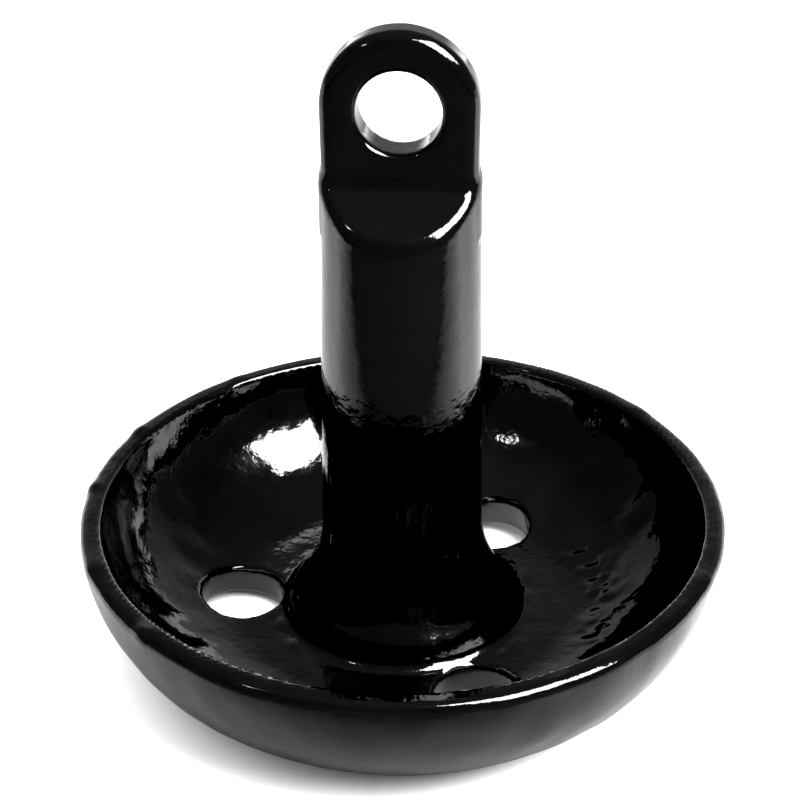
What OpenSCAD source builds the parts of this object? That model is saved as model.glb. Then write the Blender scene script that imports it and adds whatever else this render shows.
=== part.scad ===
// Mushroom anchor: a one-piece iron casting dipped in a continuous vinyl coating.
// The foot rests on z = 0 and the shank stands along +Z. The eye bore runs along Y.
// Sizes are those of the bare casting; the coating is laid over it by coat_thickness.

/* [Bowl casting] */
// Outermost radius of the bowl at its rim
rim_radius = 93.6; // [85:0.1:105]
// Height of the rim above the foot
bowl_height = 45.4; // [42:0.1:46]
// Radius that rounds the outer side of the rim
lip_round = 1.35; // [0.5:0.05:2]
// Outer wall: radius of the large arc that runs down from the rim
outer_wall_radius = 49; // [46:0.1:52]
// Outer wall: radius of the tighter arc where the wall turns under the bowl
knuckle_radius = 27; // [20:0.1:32]
// Outer wall: slope at which the large arc hands over to the tighter one, in degrees
knuckle_slope = 37; // [30:0.5:45]
// Slope of the underside between foot and wall, in degrees
under_slope = 8; // [4:0.5:12]
// Radius of the flat foot under the bowl
foot_radius = 40; // [30:0.5:45]
// Thickness of the bowl floor
floor_thickness = 9.5; // [8:0.1:11]
// Radius of the flat part of the floor
floor_radius = 47.5; // [46:0.1:48]
// Radius of the hollow inner wall
inner_wall_radius = 43; // [42:0.1:44]

/* [Shank casting] */
// Radius of the dome-shaped hub at the foot of the shank
hub_radius = 34.8; // [33:0.1:35.6]
// Slope of the hub between its fillet and its edge, in degrees
hub_slope = 52; // [44:0.5:58]
// Rounding of the hub's outer edge
hub_edge = 2.5; // [1.5:0.1:3.5]
// Height of that rounding's centre above the bowl's floor
hub_side = 2; // [1:0.1:3]
// Fillet between hub and shank
hub_fillet = 7.5; // [4:0.1:10]
// Shank radius at the bowl floor
shank_radius_low = 22.8; // [21:0.1:23]
// Shank radius at the shoulders
shank_radius_high = 20.2; // [20.1:0.05:21]
// Height of the shoulder line on the eye plate, above the casting's foot
shoulder_height = 149.5; // [110:0.5:152]
// Slope of both shoulders below level, in degrees
shoulder_slope = 33.5; // [25:0.5:45]

/* [Eye plate casting] */
// Half the width of the eye plate, and the radius of its round crown
eye_radius = 19.8; // [18:0.05:19.85]
// Height of the centre of the crown above the casting's foot
crown_height = 171.6; // [170:0.1:180]
// Thickness of the eye plate
eye_thickness = 9; // [8:0.1:10]
// Rounding along the edges of the eye plate
eye_edge = 1.5; // [1.2:0.1:2]
// Height of the bore axis above the casting's foot
bore_height = 170.9; // [169:0.1:178]
// Radius of the eye bore in bare iron
bore_radius = 13; // [12:0.1:13.5]
// Rounding at both mouths of the eye bore
bore_edge = 0.5; // [0.2:0.1:1]

/* [Drain holes] */
// Number of drain holes in the floor
drain_count = 3; // [2:1:4]
// Radius of the ring the drain holes lie on
drain_ring_radius = 49.4; // [49.2:0.1:51]
// Radius of a drain hole in bare iron
drain_radius = 13.6; // [12:0.1:13.7]
// Rounding of a drain hole's upper edge
drain_edge_top = 0.3; // [0.2:0.1:0.4]
// Rounding of a drain hole's lower edge
drain_edge_foot = 6; // [3:0.1:8]
// Turn of the first drain hole from the eye plate's width, in degrees
drain_turn = 60; // [0:1:119]

/* [Vinyl coating] */
// Thickness of the dipped coating
coat_thickness = 1.5; // [0.8:0.1:1.5]

/* [Hidden] */
// How far a drain cutter runs past the surfaces it cuts
past = 5;
// Height of the drain's upper rounding above the flat floor, where the wall starts to rise
drain_edge_rise = 0.8;
// Share of the drain's lower rounding that lies under the foot, so it crosses the underside
drain_edge_drop = 0.3;
$fn = 120;
// centre of the large outer wall arc, then of the tighter arc, then where the underside starts
wall_r = rim_radius - outer_wall_radius;
step_arc = outer_wall_radius - knuckle_radius;
knuckle_r = wall_r + step_arc * sin(knuckle_slope);
under_r = knuckle_r + knuckle_radius * sin(under_slope);
under_z = (under_r - foot_radius) * tan(under_slope);
knuckle_z = under_z + knuckle_radius * cos(under_slope);
wall_z = knuckle_z + step_arc * cos(knuckle_slope);
// small overlap that lets neighbouring arcs cross cleanly instead of only touching
blend = 0.06;
shank_draft = atan((shank_radius_low - shank_radius_high) / (shoulder_height - floor_thickness));

// Shank radius of the bare casting at height z above its foot.
function shank_radius(z) = shank_radius_low - tan(shank_draft) * (z - floor_thickness);

// Point at slope a on an arc of the outer side, grown by skin.
function on_arc(centre, radius, a) = centre + radius * [sin(a), -cos(a)];

// The bowl before it is hollowed, grown by skin.
module bowl_outside(skin) {
  lip_z = bowl_height - lip_round;
  lip_dip = asin((wall_z - lip_z) / (outer_wall_radius - lip_round));
  lip_r = wall_r + (outer_wall_radius - lip_round) * cos(lip_dip);
  lip_touch = lip_z - (lip_round + skin) * sin(lip_dip);
  knuckle = [knuckle_r, knuckle_z];
  turn = on_arc(knuckle, knuckle_radius + skin, knuckle_slope);
  under = on_arc(knuckle, knuckle_radius + skin, under_slope);
  // large arc from the rim down to the knuckle
  rotate_extrude() intersection() {
    translate([wall_r, wall_z]) circle(r = outer_wall_radius + skin);
    translate([wall_r - 5, turn[1]]) square([outer_wall_radius + 10, lip_touch - turn[1]]);
  }
  // tighter arc below it
  rotate_extrude() intersection() {
    translate(knuckle) circle(r = knuckle_radius + skin + blend);
    translate([knuckle_r - 3, -skin - 1]) square([knuckle_radius + 5, knuckle_z + skin]);
  }
  // flat foot and shallow underside
  rotate_extrude() polygon([
    [0, -skin], [foot_radius + skin * tan(under_slope / 2), -skin], under,
    [knuckle_r, knuckle_z], [0, knuckle_z]
  ]);
  translate([0, 0, 5]) cylinder(r = wall_r + 2, h = lip_touch - 6);
  // rounded rim
  translate([0, 0, lip_touch - 2]) cylinder(r = lip_r, h = bowl_height + skin - lip_touch + 2);
  rotate_extrude() translate([lip_r, lip_z]) circle(r = lip_round + skin + blend);
}

// Hollow of the bowl, shrunk by skin.
module bowl_hollow(skin) {
  rotate_extrude() {
    translate([floor_radius, floor_thickness + inner_wall_radius])
      circle(r = inner_wall_radius - skin);
    translate([0, floor_thickness + skin]) square([floor_radius, bowl_height + 20]);
  }
}

// Half section of the dome-shaped hub and the tapered shank, grown by skin.
module shank_section(skin, top) {
  grown = skin / cos(shank_draft);
  edge = [hub_radius - hub_edge, floor_thickness + hub_side];
  cone = [sin(hub_slope), cos(hub_slope)];
  side = [cos(shank_draft), sin(shank_draft)];
  // centre of the fillet, as far from the cone as from the shank
  from_cone = cone * edge + hub_edge + hub_fillet;
  from_side = side * [shank_radius_low, floor_thickness] + hub_fillet;
  turn = cone[0] * side[1] - cone[1] * side[0];
  fillet = [from_cone * side[1] - from_side * cone[1], from_side * cone[0] - from_cone * side[0]] / turn;
  on_side = fillet - (hub_fillet - skin) * side;
  polygon([[0, 3], [shank_radius(3) + grown, 3], [shank_radius(top) + grown, top], [0, top]]);
  difference() {
    polygon([
      [0, 4], [hub_radius + skin, 4], [hub_radius + skin, edge[1]], edge,
      edge + (hub_edge + skin) * cone, fillet - (hub_fillet - skin) * cone, fillet,
      on_side, [0, on_side[1]]
    ]);
    translate(fillet) circle(r = hub_fillet - skin + blend);
  }
  translate(edge) circle(r = hub_edge + skin + blend);
}

// Everything under the two shoulder slopes, as a long prism across the shank.
module shoulder_prism(skin) {
  half = eye_thickness / 2;
  reach = 60;
  lift = skin / cos(shoulder_slope);
  peak_z = shoulder_height + lift - skin * tan(shoulder_slope);
  low_z = shoulder_height + lift - (reach - half) * tan(shoulder_slope);
  rotate([90, 0, 90]) linear_extrude(2 * reach, center = true)
    polygon([
      [-reach, 0], [reach, 0], [reach, low_z], [half + skin, peak_z],
      [-half - skin, peak_z], [-reach, low_z]
    ]);
}

// Flat plate with rounded edges and a round crown, grown by skin.
module eye_plate(skin) {
  r = eye_radius + skin;
  half = eye_thickness / 2 + skin;
  e = eye_edge + skin;
  low = shoulder_height - 12;
  translate([0, 0, low]) linear_extrude(crown_height - low) {
    square([2 * r, 2 * (half - e)], center = true);
    square([2 * (r - e), 2 * half], center = true);
    for (sx = [-1, 1], sy = [-1, 1]) translate([sx * (r - e), sy * (half - e)]) circle(r = e);
  }
  translate([0, 0, crown_height]) rotate([90, 0, 0]) rotate_extrude() {
    translate([0, e - half]) square([r, 2 * (half - e)]);
    translate([0, -half]) square([r - e, 2 * half]);
    for (s = [-1, 1]) translate([r - e, s * (half - e)]) circle(r = e);
  }
}

// Cutter for the eye bore with rounded mouths.
module bore_cutter(skin) {
  r = bore_radius - skin;
  half = eye_thickness / 2 + skin;
  e = bore_edge + skin;
  translate([0, 0, bore_height]) rotate([90, 0, 0]) rotate_extrude() difference() {
    union() {
      translate([0, -half - 5]) square([r, 2 * half + 10]);
      for (s = [-1, 1]) translate([0, s > 0 ? half - e : -half - 5]) square([r + e, e + 5]);
    }
    for (s = [-1, 1]) translate([r + e, s * (half - e)]) circle(r = e);
  }
}

// Cutter for one drain hole with a rounded upper edge and a wide rounded lower edge.
module drain_cutter(skin) {
  r = drain_radius - skin;
  top = floor_thickness + skin + drain_edge_rise;
  et = drain_edge_top + skin;
  ef = drain_edge_foot + skin;
  foot = -skin - drain_edge_drop * ef;
  rotate_extrude() difference() {
    union() {
      translate([0, foot - past]) square([r, top - foot + 3 * past]);
      translate([0, top - et]) square([r + et, 3 * past]);
      translate([0, foot - past]) square([r + ef, past + ef]);
    }
    translate([r + et, top - et]) circle(r = et);
    translate([r + ef, foot + ef]) circle(r = ef);
  }
}

// Hollow bowl with its drain holes, grown by skin.
module bowl(skin) {
  difference() {
    bowl_outside(skin);
    bowl_hollow(skin);
    for (i = [0 : drain_count - 1])
      rotate([0, 0, drain_turn + i * 360 / drain_count])
        translate([drain_ring_radius, 0, 0]) drain_cutter(skin);
  }
}

// Hub, shank and shoulders, grown by skin.
module shank(skin) {
  intersection() {
    rotate_extrude() shank_section(skin, shoulder_height + 10);
    shoulder_prism(skin);
  }
}

// The whole anchor shape, grown outward by skin.
module anchor_form(skin) {
  difference() {
    union() {
      bowl(skin);
      shank(skin);
      eye_plate(skin);
    }
    bore_cutter(skin);
  }
}

// Grey iron casting: bowl, hub, shank, shoulders and eye plate in one pour.
module iron_casting() {
  color([0.30, 0.30, 0.31]) translate([0, 0, coat_thickness]) anchor_form(0);
}

// Black vinyl skin bonded all over the casting, also through the bore and the drain holes.
module vinyl_coating() {
  color([0.03, 0.03, 0.035]) translate([0, 0, coat_thickness]) difference() {
    anchor_form(coat_thickness);
    anchor_form(0);
  }
}

iron_casting();
vinyl_coating();
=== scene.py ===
import math
import bpy
import bmesh
import numpy as np
from mathutils import Matrix


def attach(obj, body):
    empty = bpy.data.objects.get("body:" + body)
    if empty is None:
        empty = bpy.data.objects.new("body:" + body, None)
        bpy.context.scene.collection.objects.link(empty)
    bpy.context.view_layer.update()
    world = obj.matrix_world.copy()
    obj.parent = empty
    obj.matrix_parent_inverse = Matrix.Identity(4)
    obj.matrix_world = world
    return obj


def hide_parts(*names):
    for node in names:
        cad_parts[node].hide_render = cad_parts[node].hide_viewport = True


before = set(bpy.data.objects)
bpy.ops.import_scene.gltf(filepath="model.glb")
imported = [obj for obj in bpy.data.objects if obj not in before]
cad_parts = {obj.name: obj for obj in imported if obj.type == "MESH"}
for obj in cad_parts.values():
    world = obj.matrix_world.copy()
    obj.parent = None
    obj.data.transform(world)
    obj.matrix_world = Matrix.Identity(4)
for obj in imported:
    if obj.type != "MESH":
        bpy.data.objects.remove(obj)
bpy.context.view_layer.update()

# ---------------------------------------------------------------- dimensions, mm
RIM_Z = 48.4          # top of the bowl's rim
FLOOR_Z = 12.5        # flat floor inside the bowl
FLOOR_R = 47.5        # where the inner wall starts to rise
INNER_R = 41.5        # radius of the inner wall's arc
OUTER_R = 50.5        # radius of the large outer arc
RIM_R = 95.0          # outer radius of the rim
KNUCKLE_R = 28.5      # radius of the tighter arc under it
KNUCKLE_SLOPE = math.radians(37)
UNDER_SLOPE = math.radians(8)
FOOT_R = 40.2         # flat foot
HUB_R = 36.3          # dome-shaped hub at the foot of the shank
HUB_SLOPE = math.radians(52)
HUB_EDGE = (32.3, 13.0)    # radius and height of a point on the hub's cone
HUB_GROWN = 4.0            # how far the cone lies outside that point
HUB_START_Z = 5.0          # hub and shank start inside the bowl's floor
SHANK_LOW, SHANK_HIGH = 24.3, 21.75
SHOULDER_Z = 152.0
SHOULDER_SLOPE = math.radians(33.5)
EYE_R = 21.3
CROWN_Z = 173.1
EYE_HALF = 6.0        # half the eye plate's thickness
PLATE_SUNK = 14.0     # how far the eye plate reaches down into the shank
BORE_Z, BORE_R = 172.4, 11.5
DRAIN_RING, DRAIN_R = 49.4, 12.1
DRAIN_TURNS = [60, 180, 300]
# roundings
DRAIN_EDGE_FOOT = 4.4      # kept small: at 6 mm the casting comes through the skin
DRAIN_EDGE_TOP = 1.8
FOOT_EDGE = 4.0
RIM_EDGE_OUT, RIM_EDGE_IN = 2.9, 1.1
HUB_SHOULDER, HUB_FILLET, FLOOR_FILLET = 5.0, 7.0, 3.2
SHOULDER_EDGE, PLATE_EDGE, BORE_EDGE, PLATE_FILLET = 2.6, 3.7, 2.0, 2.2
# lumps on the rim: turn in degrees, ring radius, height, width
RIM_LUMPS = [(179, 94, 0.7, 2.2), (158, 94, 0.6, 2.6), (227, 94, 0.8, 2.4), (205, 94.5, 0.4, 3.5),
             (131, 93, 0.4, 2.5), (300, 94, 0.35, 3.0), (340, 94, 0.3, 3.0), (40, 94, 0.35, 3.2)]
CELL = 1.36           # mesh cell size
MARGIN = 3.0          # empty space kept beside and under the anchor when it is meshed
MESH_TOP_Z = 198.0    # top of the meshed space
SLAB = 16             # layers of samples worked out at a time
RELIEF_REACH = 3.5    # the relief is worked out only this close to the surface

# the large arc, the knuckle arc and the underside meet in tangents
wall_r = RIM_R - OUTER_R
arc_step = OUTER_R - KNUCKLE_R
knuckle_r = wall_r + arc_step * math.sin(KNUCKLE_SLOPE)
under_r = knuckle_r + KNUCKLE_R * math.sin(UNDER_SLOPE)
under_z = (under_r - FOOT_R) * math.tan(UNDER_SLOPE)
knuckle_z = under_z + KNUCKLE_R * math.cos(UNDER_SLOPE)
wall_z = knuckle_z + arc_step * math.cos(KNUCKLE_SLOPE)


def meet(a, b, r):
    """Overlap of two solids with a rounded edge of radius r."""
    u, v = np.maximum(a + r, 0), np.maximum(b + r, 0)
    return np.minimum(-r, np.maximum(a, b)) + np.sqrt(u * u + v * v)


def join(a, b, r):
    """Union of two solids with a concave fillet of radius r."""
    return -meet(-a, -b, r)


_lattices = {}


def noise(x, y, z, scale, seed):
    """Smooth noise between -1 and 1 whose lumps are about scale mm wide."""
    n = 64              # the lattice repeats after this many lumps
    if seed not in _lattices:
        _lattices[seed] = np.random.RandomState(seed).uniform(-1, 1, (n, n, n))
    lat = _lattices[seed]
    out = 0.0
    q = [c / scale + 1000.0 for c in (x, y, z)]     # moved so that no index is negative
    i = [np.floor(c).astype(np.int64) for c in q]
    t = [c - k for c, k in zip(q, i)]
    t = [c * c * c * (c * (c * 6 - 15) + 10) for c in t]
    for dx in (0, 1):
        wx = t[0] if dx else 1 - t[0]
        for dy in (0, 1):
            wy = t[1] if dy else 1 - t[1]
            for dz in (0, 1):
                wz = t[2] if dz else 1 - t[2]
                out = out + wx * wy * wz * lat[(i[0] + dx) % n, (i[1] + dy) % n, (i[2] + dz) % n]
    return out


def outer_side(r, z):
    """Distance outside the bowl's outer profile."""
    big = np.hypot(r - wall_r, z - wall_z) - OUTER_R
    big = np.where(z > wall_z, r - RIM_R, big)
    small = np.hypot(r - knuckle_r, z - knuckle_z) - KNUCKLE_R
    under = (r - FOOT_R) * math.sin(UNDER_SLOPE) - z * math.cos(UNDER_SLOPE)
    low = meet(under, -z, FOOT_EDGE)
    slope_k = np.arctan2(r - knuckle_r, knuckle_z - z)
    slope_w = np.arctan2(r - wall_r, wall_z - z)
    d = np.where(slope_k < UNDER_SLOPE, low, small)
    return np.where((slope_w > KNUCKLE_SLOPE) & (r > wall_r), big, d)


def inner_side(r, z):
    """Distance above the bowl's floor and inside its inner wall."""
    cz = FLOOR_Z + INNER_R
    arc = INNER_R - np.hypot(r - FLOOR_R, np.minimum(z, cz) - cz)
    return np.where(r > FLOOR_R, arc, z - FLOOR_Z)


def bowl_shape(x, y, z, r):
    """Distance to the bowl with its rim and drain holes."""
    low, high = outer_side(r, z), inner_side(r, z)
    for turn in DRAIN_TURNS:
        t = math.radians(turn)
        hole = DRAIN_R - np.hypot(x - DRAIN_RING * math.cos(t), y - DRAIN_RING * math.sin(t))
        low = meet(low, hole, DRAIN_EDGE_FOOT)
        high = meet(high, hole, DRAIN_EDGE_TOP)
    bowl = meet(low, z - RIM_Z, RIM_EDGE_OUT)
    return meet(bowl, high, RIM_EDGE_IN)


def stem_shape(y, z, r):
    """Distance to the hub and the tapered shank with its two sloped shoulders."""
    cone = (r - HUB_EDGE[0]) * math.sin(HUB_SLOPE) + (z - HUB_EDGE[1]) * math.cos(HUB_SLOPE) - HUB_GROWN
    hub = meet(cone, r - HUB_R, HUB_SHOULDER)
    hub = np.maximum(hub, HUB_START_Z - z)
    draft = (SHANK_LOW - SHANK_HIGH) / (SHOULDER_Z - FLOOR_Z)
    shank = (r - SHANK_LOW + draft * (z - FLOOR_Z)) / math.sqrt(1 + draft * draft)
    slope = (z - SHOULDER_Z) * math.cos(SHOULDER_SLOPE) + (np.abs(y) - EYE_HALF) * math.sin(SHOULDER_SLOPE)
    shank = meet(shank, slope, SHOULDER_EDGE)
    shank = np.maximum(shank, HUB_START_Z - z)
    return join(shank, hub, HUB_FILLET)


def eye_shape(x, y, z):
    """Distance to the eye plate with its bore."""
    up = np.maximum(z - CROWN_Z, 0)
    edge = np.hypot(x, up) - EYE_R
    plate = meet(edge, np.abs(y) - EYE_HALF, PLATE_EDGE)
    plate = np.maximum(plate, SHOULDER_Z - PLATE_SUNK - z)
    bore = BORE_R - np.hypot(x, z - BORE_Z)
    return meet(plate, bore, BORE_EDGE)


def plain_shape(x, y, z):
    """Signed distance to the anchor's skin before its relief, negative inside."""
    r = np.hypot(x, y)
    top = join(eye_shape(x, y, z), stem_shape(y, z, r), PLATE_FILLET)
    return join(bowl_shape(x, y, z, r), top, FLOOR_FILLET)


def relief(x, y, z):
    """Height of the dipped vinyl's swells, runs, orange peel and lumps."""
    r = np.hypot(x, y)
    a = np.arctan2(y, x)
    swell = 0.16 * noise(x, y, z, 26, 3) + 0.045 * noise(x, y, z, 7, 5)
    # runs show on the inner wall only
    inside = np.clip((z - FLOOR_Z) / 6, 0, 1) * np.clip((r - 50) / 12, 0, 1)
    inside = inside * np.clip((RIM_Z + 2 - z) / 6, 0, 1)
    runs = 0.22 * noise(a * 60, 0 * r, z * 0.45, 6.5, 7) + 0.12 * noise(x, y, z, 9, 11)
    # grainy band on the right of the floor, where the real casting has relief
    mid = np.clip(1 - np.abs(a - math.radians(8)) / math.radians(44), 0, 1) ** 0.5
    band = mid * np.exp(-((r - 61) / 6.5) ** 2) * (z < 30)
    high = swell + inside * runs + 0.42 * band * noise(x, y, z, 3.6, 13)
    # beads of vinyl where the hub meets the floor
    bead = np.exp(-((r - 38.5) / 2.5) ** 2) * (z < 20)
    high = high + 0.3 * bead * noise(x, y, z, 5, 17)
    for turn, rr, tall, wide in RIM_LUMPS:
        t = math.radians(turn)
        d2 = (x - rr * math.cos(t)) ** 2 + (y - rr * math.sin(t)) ** 2 + (z - 47.5) ** 2
        high = high + tall * np.exp(-d2 / (2 * wide * wide))
    return high


def coating(x, y, z):
    return plain_shape(x, y, z) - relief(x, y, z)


# ---------------------------------------------------------------- mesh of the skin
def surface_net(f, lo, h):
    """Quads on the zero level of the samples f, with one point in every crossed cell."""
    neg = f < 0
    nx, ny, nz = (n - 1 for n in f.shape)
    count = np.zeros((nx, ny, nz), np.int8)
    corners = [(a, b, c) for a in (0, 1) for b in (0, 1) for c in (0, 1)]
    for a, b, c in corners:
        count += neg[a:a + nx, b:b + ny, c:c + nz]
    cell = np.argwhere((count > 0) & (count < 8))
    index = -np.ones((nx, ny, nz), np.int64)
    index[cell[:, 0], cell[:, 1], cell[:, 2]] = np.arange(len(cell))
    total, hits = np.zeros((len(cell), 3)), np.zeros(len(cell))
    for axis in range(3):
        for a, b, c in corners:
            start = np.array([a, b, c])
            if start[axis]:
                continue
            end = start.copy()
            end[axis] = 1
            fa, fb = f[tuple((cell + start).T)], f[tuple((cell + end).T)]
            cut = (fa < 0) != (fb < 0)
            t = np.where(cut, fa / np.where(cut, fa - fb, 1), 0)
            point = start + t[:, None] * (end - start)
            total += point * cut[:, None]
            hits += cut
    points = lo + h * (cell + total / hits[:, None])
    quads = []
    for axis in range(3):
        u, v = [(1, 2), (2, 0), (0, 1)][axis]
        first = [slice(1, -1)] * 3
        first[axis] = slice(0, -1)
        second = list(first)
        second[axis] = slice(1, None)
        na, nb = neg[tuple(first)], neg[tuple(second)]
        for into in (True, False):
            e = np.argwhere((na != nb) & (na == into))
            e[:, u] += 1
            e[:, v] += 1
            du, dv = np.zeros(3, int), np.zeros(3, int)
            du[u], dv[v] = 1, 1
            ring = [index[tuple((e - s).T)] for s in (du + dv, dv, 0 * du, du)]
            quads.append(np.stack(ring if into else ring[::-1], 1))
    return points, np.concatenate(quads)


def slope_at(p, eps=0.04):
    """Gradient of the skin's distance, which points outward."""
    g = []
    for k in range(3):
        d = np.zeros(3)
        d[k] = eps
        g.append((coating(*(p + d).T) - coating(*(p - d).T)) / (2 * eps))
    return np.stack(g, 1)


def settle(p, rounds):
    """Move points onto the skin."""
    for _ in range(rounds):
        g = slope_at(p)
        move = coating(*p.T) / np.maximum((g * g).sum(1), 0.2)
        p = p - np.clip(move, -0.6, 0.6)[:, None] * g
    return p


def relax(p, quads, rounds):
    """Even out the point spacing along the skin."""
    pairs = np.concatenate([quads[:, [0, 1]], quads[:, [1, 2]], quads[:, [2, 3]], quads[:, [3, 0]]])
    for _ in range(rounds):
        total = np.zeros_like(p)
        for k in range(3):
            total[:, k] = np.bincount(pairs[:, 0], p[pairs[:, 1], k], len(p))
        n = np.bincount(pairs[:, 0], minlength=len(p))
        step = total / n[:, None] - p
        g = slope_at(p)
        g /= np.linalg.norm(g, axis=1)[:, None]
        step -= (step * g).sum(1)[:, None] * g
        p = settle(p + 0.6 * step, 1)
    return p


def skin_mesh():
    """Points and quads of the skin's outside."""
    side = RIM_R + MARGIN
    lo, hi = np.array([-side, -side, -MARGIN]), np.array([side, side, MESH_TOP_Z])
    n = np.ceil((hi - lo) / CELL).astype(int) + 1
    axes = [lo[k] + CELL * np.arange(n[k]) for k in range(3)]
    f = np.empty(n)
    for i in range(0, n[0], SLAB):
        gx, gy, gz = np.meshgrid(axes[0][i:i + SLAB], axes[1], axes[2], indexing="ij")
        part = plain_shape(gx, gy, gz)
        close = np.abs(part) < RELIEF_REACH
        part[close] -= relief(gx[close], gy[close], gz[close])
        f[i:i + SLAB] = part
    p, q = surface_net(f, lo, CELL)
    p = settle(p, 3)
    p = relax(p, q, 3)
    p = settle(p, 2)
    return p, q


def make_piece(name, p, faces, smooth_normals):
    """Blender object from points in mm, shaded with the given normals."""
    mesh = bpy.data.meshes.new(name)
    mesh.from_pydata((p / 1000.0).tolist(), [], faces)
    mesh.validate()
    mesh.polygons.foreach_set("use_smooth", [True] * len(mesh.polygons))
    mesh.normals_split_custom_set_from_vertices(smooth_normals.tolist())
    mesh.update()
    obj = bpy.data.objects.new(name, mesh)
    bpy.context.collection.objects.link(obj)
    return obj


def casting_lining(casting):
    """The casting's surface turned inside out, as points in mm, faces and normals."""
    bm = bmesh.new()
    bm.from_mesh(casting.data)
    bmesh.ops.remove_doubles(bm, verts=bm.verts, dist=1e-6)
    bm.verts.ensure_lookup_table()
    points = np.array([casting.matrix_world @ v.co for v in bm.verts]) * 1000
    faces = [[v.index for v in reversed(f.verts)] for f in bm.faces]
    bm.normal_update()
    normals = -np.array([v.normal for v in bm.verts])
    bm.free()
    return points, faces, normals


def vinyl_skin(casting):
    """The dipped coating: its outside, and an inside that lies on the casting."""
    points, quads = skin_mesh()
    normals = slope_at(points)
    normals /= np.linalg.norm(normals, axis=1)[:, None]
    lining_points, lining_faces, lining_normals = casting_lining(casting)
    faces = quads.tolist() + [[i + len(points) for i in f] for f in lining_faces]
    print("skin points", len(points), "quads", len(quads), "inner faces", len(lining_faces))
    return make_piece("vinyl_skin", np.concatenate([points, lining_points]), faces,
                      np.concatenate([normals, lining_normals]))


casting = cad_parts["iron_casting"]
skin = vinyl_skin(casting)
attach(skin, "root")
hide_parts("vinyl_coating")


# ---------------------------------------------------------------- materials
def new_material(name):
    m = bpy.data.materials.new(name)
    m.use_nodes = True
    t = m.node_tree
    t.nodes.clear()
    out = t.nodes.new("ShaderNodeOutputMaterial")
    return m, t, out


def grain(t, scale, detail):
    """Noise texture in the object's own space."""
    co = t.nodes.new("ShaderNodeTexCoord")
    n = t.nodes.new("ShaderNodeTexNoise")
    n.inputs["Scale"].default_value = scale
    n.inputs["Detail"].default_value = detail
    n.inputs["Roughness"].default_value = 0.5
    t.links.new(co.outputs["Object"], n.inputs["Vector"])
    return n


def ramp(t, source, stops):
    """Colour ramp from (position, grey level or colour) stops in rising order."""
    r = t.nodes.new("ShaderNodeValToRGB")
    el = r.color_ramp.elements
    for k, (pos, col) in enumerate(stops):
        e = el[k] if k < 2 else el.new(pos)
        e.position = pos
        e.color = (*([col] * 3 if isinstance(col, float) else col), 1)
    t.links.new(source, r.inputs["Fac"])
    return r


def vinyl():
    m, t, out = new_material("black vinyl")
    b = t.nodes.new("ShaderNodeBsdfPrincipled")
    t.links.new(b.outputs["BSDF"], out.inputs["Surface"])
    tone = ramp(t, grain(t, 60, 3).outputs["Fac"], [(0.3, 0.0005), (0.7, 0.0011)])
    t.links.new(tone.outputs["Color"], b.inputs["Base Color"])
    sheen = ramp(t, grain(t, 220, 4).outputs["Fac"], [(0.3, 0.05), (0.75, 0.11)])
    t.links.new(sheen.outputs["Color"], b.inputs["Roughness"])
    b.inputs["IOR"].default_value = 1.5
    peel = t.nodes.new("ShaderNodeBump")
    peel.inputs["Strength"].default_value = 0.22
    peel.inputs["Distance"].default_value = 0.0004
    t.links.new(grain(t, 380, 2).outputs["Fac"], peel.inputs["Height"])
    t.links.new(peel.outputs["Normal"], b.inputs["Normal"])
    return m


def iron():
    m, t, out = new_material("cast iron")
    b = t.nodes.new("ShaderNodeBsdfPrincipled")
    t.links.new(b.outputs["BSDF"], out.inputs["Surface"])
    tone = ramp(t, grain(t, 90, 6).outputs["Fac"], [(0.3, (0.05, 0.05, 0.052)), (0.7, (0.13, 0.125, 0.12))])
    t.links.new(tone.outputs["Color"], b.inputs["Base Color"])
    b.inputs["Metallic"].default_value = 0.7
    b.inputs["Roughness"].default_value = 0.62
    pits = t.nodes.new("ShaderNodeBump")
    pits.inputs["Strength"].default_value = 0.4
    pits.inputs["Distance"].default_value = 0.0004
    t.links.new(grain(t, 700, 5).outputs["Fac"], pits.inputs["Height"])
    t.links.new(pits.outputs["Normal"], b.inputs["Normal"])
    return m


def dress(obj, m):
    obj.data.materials.clear()
    obj.data.materials.append(m)


dress(skin, vinyl())
dress(casting, iron())

# ---------------------------------------------------------------- floor, light, camera
def pale_floor():
    """Plain white paper, seen evenly bright by the camera. In reflections its colour carries painted shade,
    so its reflection in the vinyl fades out in front of the anchor.
    """
    m, t, out = new_material("pale floor")
    b = t.nodes.new("ShaderNodeBsdfDiffuse")
    tone = ramp(t, grain(t, 4, 2).outputs["Fac"], [(0.3, 0.86), (0.7, 0.87)])
    co = t.nodes.new("ShaderNodeTexCoord")
    xyz = t.nodes.new("ShaderNodeSeparateXYZ")
    t.links.new(co.outputs["Object"], xyz.inputs["Vector"])
    along = t.nodes.new("ShaderNodeMapRange")
    along.inputs["From Min"].default_value = -0.34
    along.inputs["From Max"].default_value = 0.16
    t.links.new(xyz.outputs["Y"], along.inputs["Value"])
    # painted shade and light: in reflections only, the floor's colour is dark in front of the anchor and
    # brighter under and behind it, standing in for light that falls off across the floor
    painted_reflection_shade = ramp(t, along.outputs["Result"],
                    [(0.0, 0.030), (0.10, 0.034), (0.34, 0.034), (0.41, 0.026), (0.48, 0.15),
                     (0.60, 0.29), (0.72, 0.48), (0.92, 0.36)])
    path = t.nodes.new("ShaderNodeLightPath")
    pick = t.nodes.new("ShaderNodeMix")
    pick.data_type = "FLOAT"
    t.links.new(path.outputs["Is Glossy Ray"], pick.inputs[0])
    pick.inputs[2].default_value = 1.0
    t.links.new(painted_reflection_shade.outputs["Color"], pick.inputs[3])
    mul = t.nodes.new("ShaderNodeVectorMath")
    mul.operation = "SCALE"
    t.links.new(tone.outputs["Color"], mul.inputs[0])
    t.links.new(pick.outputs[0], mul.inputs["Scale"])
    t.links.new(mul.outputs["Vector"], b.inputs["Color"])
    t.links.new(b.outputs["BSDF"], out.inputs["Surface"])
    return m


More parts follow.
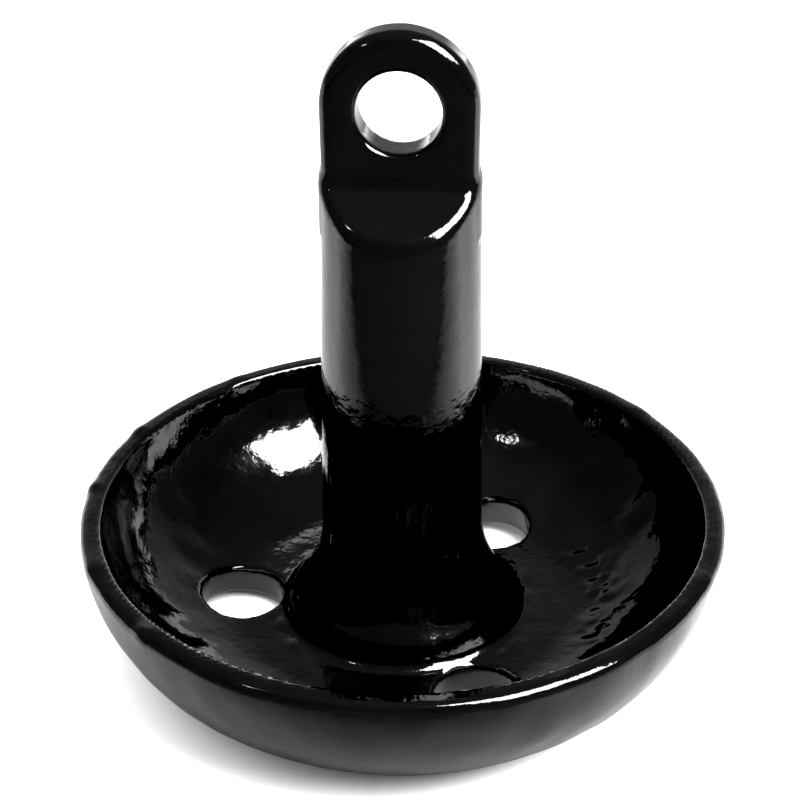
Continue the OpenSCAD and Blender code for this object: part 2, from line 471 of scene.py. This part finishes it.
bpy.ops.mesh.primitive_plane_add(size=8, location=(0, 0, 0))
floor = bpy.context.object
floor.name = "floor"
dress(floor, pale_floor())


MIDDLE_Z = 0.08       # the height that lamps point at, in metres


def softbox(name, direction, distance, width, height, power):
    """Rectangular lamp in metres that faces the middle of the anchor."""
    light = bpy.data.lights.new(name, "AREA")
    light.shape = "RECTANGLE"
    light.size, light.size_y = width, height
    light.energy = power
    obj = bpy.data.objects.new(name, light)
    bpy.context.collection.objects.link(obj)
    d = np.array(direction, float)
    d /= np.linalg.norm(d)
    obj.location = d * distance + np.array([0, 0, MIDDLE_Z])
    x = np.cross([0, 0, 1.0], d)
    x /= np.linalg.norm(x)
    y = np.cross(d, x)
    obj.rotation_euler = Matrix((x, y, d)).transposed().to_euler()


def toward(azimuth, elevation):
    """Unit direction from two angles in degrees."""
    a, e = math.radians(azimuth), math.radians(elevation)
    return (math.cos(a) * math.cos(e), math.sin(a) * math.cos(e), math.sin(e))


softbox("key", toward(-30, 50), 1.4, 0.95, 0.85, 30)
softbox("left", toward(-142, 45), 1.6, 0.07, 0.07, 0.25)


def backdrop(t, level, color=None):
    """Background of plain white, or of the given colour, at a level."""
    n = t.nodes.new("ShaderNodeBackground")
    n.inputs["Strength"].default_value = level
    n.inputs["Color"].default_value = (1, 1, 1, 1)
    if color is not None:
        t.links.new(color, n.inputs["Color"])
    return n.outputs["Background"]


def either(t, choice, no, yes):
    n = t.nodes.new("ShaderNodeMixShader")
    t.links.new(choice, n.inputs["Fac"])
    t.links.new(no, n.inputs[1])
    t.links.new(yes, n.inputs[2])
    return n.outputs["Shader"]


def studio_world():
    """Even light for matt surfaces; reflections see a white sweep behind and a dark room in front."""
    world = bpy.data.worlds.new("studio")
    bpy.context.scene.world = world
    world.use_nodes = True
    t = world.node_tree
    t.nodes.clear()
    out = t.nodes.new("ShaderNodeOutputWorld")
    co = t.nodes.new("ShaderNodeTexCoord")
    sep = t.nodes.new("ShaderNodeSeparateXYZ")
    t.links.new(co.outputs["Generated"], sep.inputs["Vector"])
    height = sep.outputs["Z"]
    behind = ramp(t, height, [(0.0, 1.3), (0.10, 0.6), (0.20, 0.19), (0.42, 0.20), (0.57, 0.09),
                              (0.70, 0.05), (1.0, 0.07)])
    ahead = ramp(t, height, [(0.0, 0.05), (0.6, 0.04), (1.0, 0.07)])
    above = ramp(t, height, [(0.0, 0.02), (0.4, 0.04), (0.8, 0.62), (1.0, 1.0)])
    # the white sweep stands behind the anchor
    lean = t.nodes.new("ShaderNodeVectorMath")
    lean.operation = "DOT_PRODUCT"
    lean.inputs[1].default_value = (-0.05, 0.999, 0.0)
    t.links.new(co.outputs["Generated"], lean.inputs[0])
    side = t.nodes.new("ShaderNodeMapRange")
    side.inputs["From Min"].default_value = 0.48
    side.inputs["From Max"].default_value = 0.92
    t.links.new(lean.outputs["Value"], side.inputs["Value"])
    blend = t.nodes.new("ShaderNodeMix")
    blend.data_type = "RGBA"
    t.links.new(side.outputs["Result"], blend.inputs[0])
    t.links.new(ahead.outputs["Color"], blend.inputs[6])
    t.links.new(behind.outputs["Color"], blend.inputs[7])
    path = t.nodes.new("ShaderNodeLightPath")
    room = either(t, path.outputs["Is Diffuse Ray"], backdrop(t, 1.0, blend.outputs[2]),
                  backdrop(t, 2.0, above.outputs["Color"]))
    seen = either(t, path.outputs["Is Camera Ray"], room, backdrop(t, 2.0))
    t.links.new(seen, out.inputs["Surface"])


def photo_camera(place, heading, down, roll, lens):
    """Camera at place in metres; its angles are in degrees and its lens in mm."""
    data = bpy.data.cameras.new("camera")
    data.sensor_width = 36
    data.lens = lens
    data.clip_end = 20
    camera = bpy.data.objects.new("camera", data)
    bpy.context.collection.objects.link(camera)
    forward = np.array(toward(heading, -down))
    level = np.cross(forward, [0, 0, 1.0])
    level /= np.linalg.norm(level)
    over = np.cross(level, forward)
    c, s = math.cos(math.radians(roll)), math.sin(math.radians(roll))
    right, up = c * level + s * over, c * over - s * level
    turn = Matrix((right, up, -forward)).transposed().to_4x4()
    camera.matrix_world = Matrix.Translation(place) @ turn
    bpy.context.scene.camera = camera


def print_like_contrast():
    """Deep blacks and clipped whites."""
    view = bpy.context.scene.view_settings
    view.view_transform = "Standard"
    view.look = "None"
    view.use_curve_mapping = True
    view.curve_mapping.black_level = (0.0015, 0.0015, 0.0015)
    view.curve_mapping.white_level = (0.34, 0.34, 0.34)
    view.curve_mapping.update()


studio_world()
photo_camera((0.0419, -0.4682, 0.3583), heading=95.18, down=30.35, roll=-0.38, lens=85.47)
print_like_contrast()
